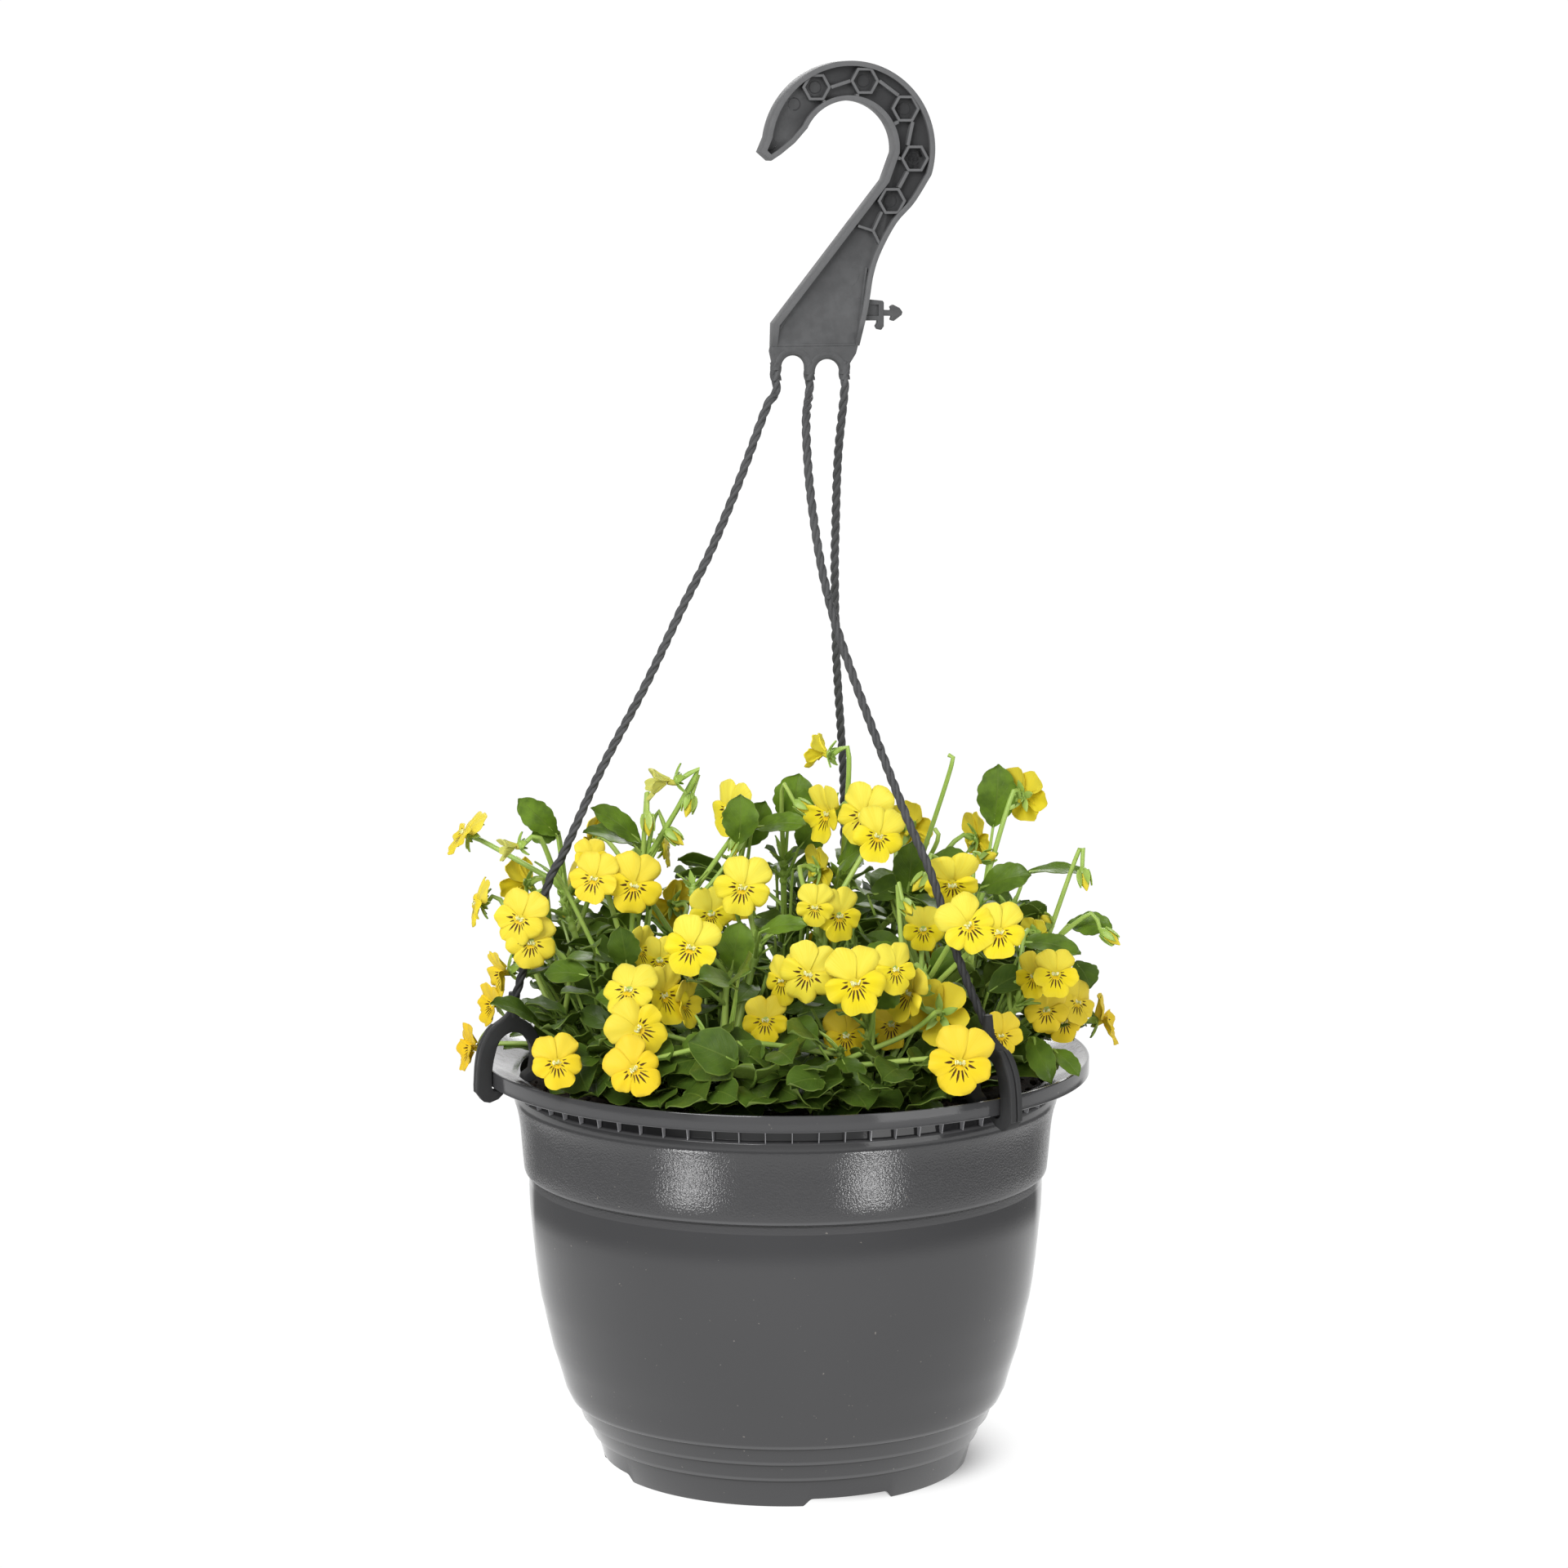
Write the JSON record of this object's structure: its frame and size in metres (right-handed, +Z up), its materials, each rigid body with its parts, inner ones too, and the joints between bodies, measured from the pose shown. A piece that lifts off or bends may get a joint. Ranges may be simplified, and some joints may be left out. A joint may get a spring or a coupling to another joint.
{
  "type": "hanging flower basket",
  "caption": "Planted hanging basket: moulded plastic pot with a funnel rim, a twisted-strand hanger ending in a flat hook, and yellow violas that rise well above the rim.",
  "frame": {"origin": "the seat of the hook, the point under the top of its inner bend where the basket hangs on its bar", "axes": "+Z up along the basket's length, +X to the right and -Y towards the viewer of the picture"},
  "size_m": [0.3042, 0.2725, 0.6207],
  "materials": {
    "pot_plastic": "dark grey, glossy, fine orange peel",
    "hanger_plastic": "dark grey, satin",
    "soil": "moist peat",
    "foliage": "satin leaf",
    "petals": "velvety yellow petal"
  },
  "bodies": {
    "root": {"pot": "pot_plastic", "soil": "soil", "hanger_hook": "hanger_plastic", "hanger_strand_left": "hanger_plastic", "hanger_strand_front": "hanger_plastic", "hanger_strand_back": "hanger_plastic", "plant_1": "foliage", "plant_2": "foliage", "plant_3": "foliage", "plant_4": "foliage", "plant_5": "foliage", "bloom_01": "petals", "bloom_02": "petals", "bloom_03": "petals", "bloom_04": "petals", "bloom_06": "petals", "bloom_08": "petals", "bloom_09": "petals", "bloom_10": "petals", "bloom_13": "petals", "bloom_14": "petals", "bloom_15": "petals", "bloom_17": "petals", "bloom_19": "petals", "bloom_20": "petals", "bloom_23": "petals", "bloom_24": "petals", "bloom_25": "petals", "bloom_26": "petals", "bloom_30": "petals", "bloom_31": "petals", "bloom_32": "petals", "bloom_35": "petals", "bloom_36": "petals", "bloom_37": "petals", "bloom_38": "petals", "bloom_40": "petals", "bloom_41": "petals", "bloom_43": "petals", "bloom_44": "petals", "bloom_46": "petals", "bloom_47": "petals", "bloom_48": "petals", "bloom_49": "petals", "bloom_50": "petals", "bloom_51": "petals", "bloom_53": "petals", "bloom_54": "petals", "bloom_57": "petals", "bloom_61": "petals", "bloom_62": "petals", "bloom_70": "petals", "bloom_71": "petals", "bloom_72": "petals", "bloom_73": "petals", "bloom_74": "petals", "bloom_75": "petals", "bloom_76": "petals", "bloom_77": "petals"}
  },
  "joints": []
}
